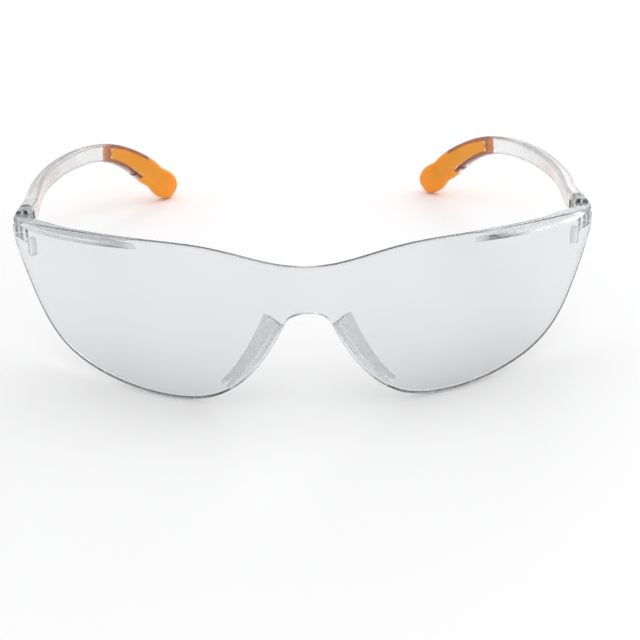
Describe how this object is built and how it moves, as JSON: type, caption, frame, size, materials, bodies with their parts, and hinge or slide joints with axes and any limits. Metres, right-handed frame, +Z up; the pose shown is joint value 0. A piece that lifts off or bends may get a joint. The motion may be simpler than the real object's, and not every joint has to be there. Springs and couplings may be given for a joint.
{
  "type": "safety glasses",
  "caption": "Wraparound safety glasses with a one-piece clear lens, moulded nose pads and brow shelf, and hinged clear temples that end in soft orange tips.",
  "frame": {"origin": "middle of the bounding box's base, on the table that the glasses stand on", "axes": "+Z up; -Y is the way the wearer looks, so the temples run towards +Y; +X is the wearer's left"},
  "size_m": [0.146, 0.1632, 0.0392],
  "materials": {
    "clear_polycarbonate": "clear polished polycarbonate",
    "soft_tip": "satin orange thermoplastic elastomer",
    "screw_steel": "small plain steel screw heads"
  },
  "bodies": {
    "front": {"lens": "clear_polycarbonate"},
    "left_temple": {"temple_left": "clear_polycarbonate", "tip_left": "soft_tip", "hinge_screw_left": "screw_steel"},
    "right_temple": {"temple_right": "clear_polycarbonate", "tip_right": "soft_tip", "hinge_screw_right": "screw_steel"}
  },
  "joints": [
    {"name": "left_temple_fold", "type": "hinge", "parent": "front", "child": "left_temple", "pos_m": [0.0706, -0.0273, 0.03049], "axis": [0, 0.0764, 0.9971], "range_deg": [0, 92]},
    {"name": "right_temple_fold", "type": "hinge", "parent": "front", "child": "right_temple", "pos_m": [-0.0706, -0.0273, 0.03049], "axis": [0, -0.0764, -0.9971], "range_deg": [0, 80]}
  ]
}
